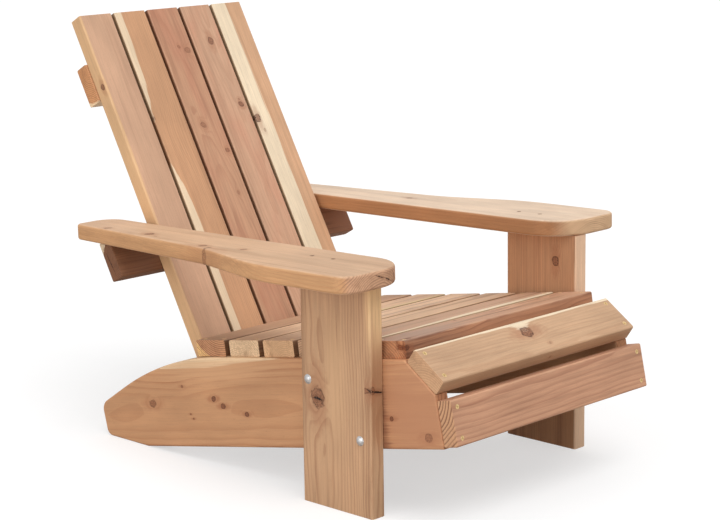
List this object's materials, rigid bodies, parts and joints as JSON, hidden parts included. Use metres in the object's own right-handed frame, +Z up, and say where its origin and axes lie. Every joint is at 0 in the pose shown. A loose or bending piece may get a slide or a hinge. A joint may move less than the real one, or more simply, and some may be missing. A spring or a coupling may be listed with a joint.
{
  "type": "adirondack chair",
  "caption": "Low reclined garden chair of plain softwood boards, with wide tapering arms, a slatted back and a sloping slatted seat.",
  "frame": {"origin": "on the ground, at the centre of the chair's length and width", "axes": "+Z up; the chair faces -Y; the sitter's right is -X"},
  "size_m": [0.876, 1.1828, 0.9196],
  "materials": {
    "oiled_softwood": "planed, lightly oiled, with visible grain and knots",
    "zinc_steel": "bright zinc plate",
    "yellow_screw_steel": "yellow zinc plate, dull"
  },
  "bodies": {
    "root": {"armrest_left": "oiled_softwood", "armrest_right": "oiled_softwood", "back_bottom_rail": "oiled_softwood", "back_brace_lower": "oiled_softwood", "back_brace_upper": "oiled_softwood", "back_slat_1": "oiled_softwood", "back_slat_2": "oiled_softwood", "back_slat_3": "oiled_softwood", "back_slat_4": "oiled_softwood", "back_slat_5": "oiled_softwood", "front_leg_left": "oiled_softwood", "front_leg_right": "oiled_softwood", "front_slat_lower": "oiled_softwood", "front_slat_upper": "oiled_softwood", "seat_slat_1": "oiled_softwood", "seat_slat_2": "oiled_softwood", "seat_slat_3": "oiled_softwood", "seat_slat_4": "oiled_softwood", "seat_slat_5": "oiled_softwood", "seat_slat_6": "oiled_softwood", "stringer_left": "oiled_softwood", "stringer_right": "oiled_softwood", "leg_bolts": "zinc_steel", "leg_bolt_washers": "zinc_steel", "leg_bolt_nuts": "zinc_steel", "arm_brace_screws": "yellow_screw_steel", "arm_leg_screws": "yellow_screw_steel", "bottom_rail_screws": "yellow_screw_steel", "front_slat_screws": "yellow_screw_steel", "lower_brace_screws": "yellow_screw_steel", "rail_end_screws": "yellow_screw_steel", "seat_slat_screws": "yellow_screw_steel", "upper_brace_screws": "yellow_screw_steel"}
  },
  "joints": []
}
